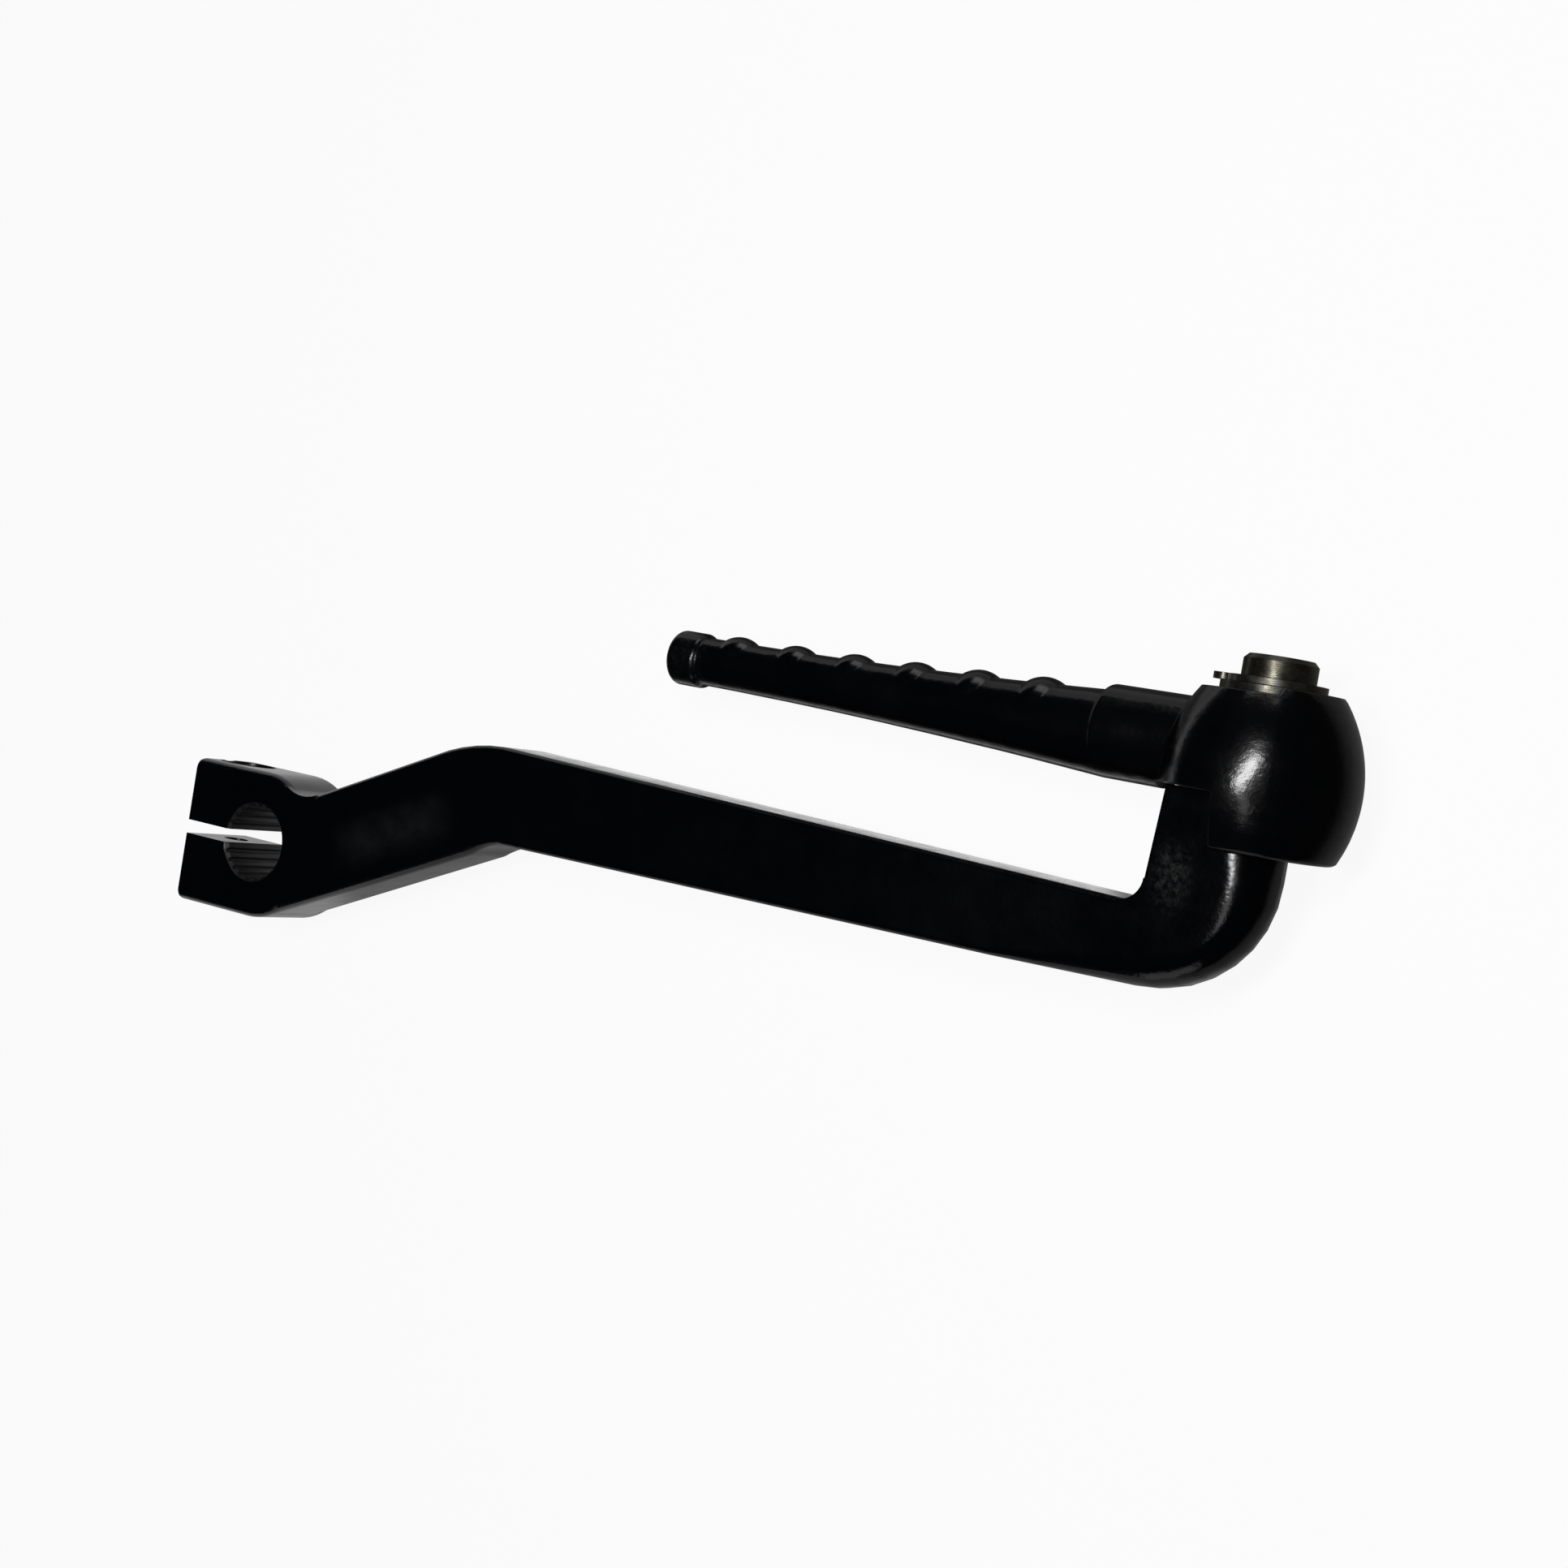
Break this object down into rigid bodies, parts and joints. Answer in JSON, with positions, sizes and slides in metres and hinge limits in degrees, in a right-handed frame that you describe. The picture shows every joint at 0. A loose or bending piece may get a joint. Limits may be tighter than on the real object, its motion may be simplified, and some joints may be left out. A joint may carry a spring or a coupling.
{
  "type": "kick start lever",
  "caption": "Cranked forged kick start lever with a splined split clamp at one end and a ribbed foot pedal that folds back along the arm from a pivot pin at the other.",
  "frame": {"origin": "on the shaft bore's axis, at the clamp's inboard face", "axes": "+Z along the bore axis, away from the engine; +X along the arm, from the bore towards the pivot pin; +Y along the pivot pin, towards its free end. The lever lies on its inboard side."},
  "size_m": [0.2457, 0.082, 0.032],
  "materials": {
    "arm_paint": "semi-gloss black paint, slightly textured",
    "pedal_paint": "semi-gloss black paint, slightly textured",
    "washer_steel": "bare steel",
    "circlip_steel": "bare spring steel",
    "ball_steel": "polished bearing ball",
    "spring_steel": "bare spring wire"
  },
  "bodies": {
    "arm": {"kick_arm": "arm_paint", "pivot_washer": "washer_steel", "circlip": "circlip_steel", "click_spring": "spring_steel"},
    "pedal": {"foot_pedal": "pedal_paint"},
    "ball": {"click_ball": "ball_steel"}
  },
  "joints": [
    {"name": "pedal_fold", "type": "hinge", "parent": "arm", "child": "pedal", "pos_m": [0.2104, 0.05, 0.0097], "axis": [0, 1, 0], "range_deg": [0, 90]},
    {"name": "click_travel", "type": "slide", "parent": "arm", "child": "ball", "axis": [1, 0, 0], "range_m": [-0.00065, 0.0003], "stiffness_N_per_m": 2000, "deforming": ["click_spring"]}
  ]
}
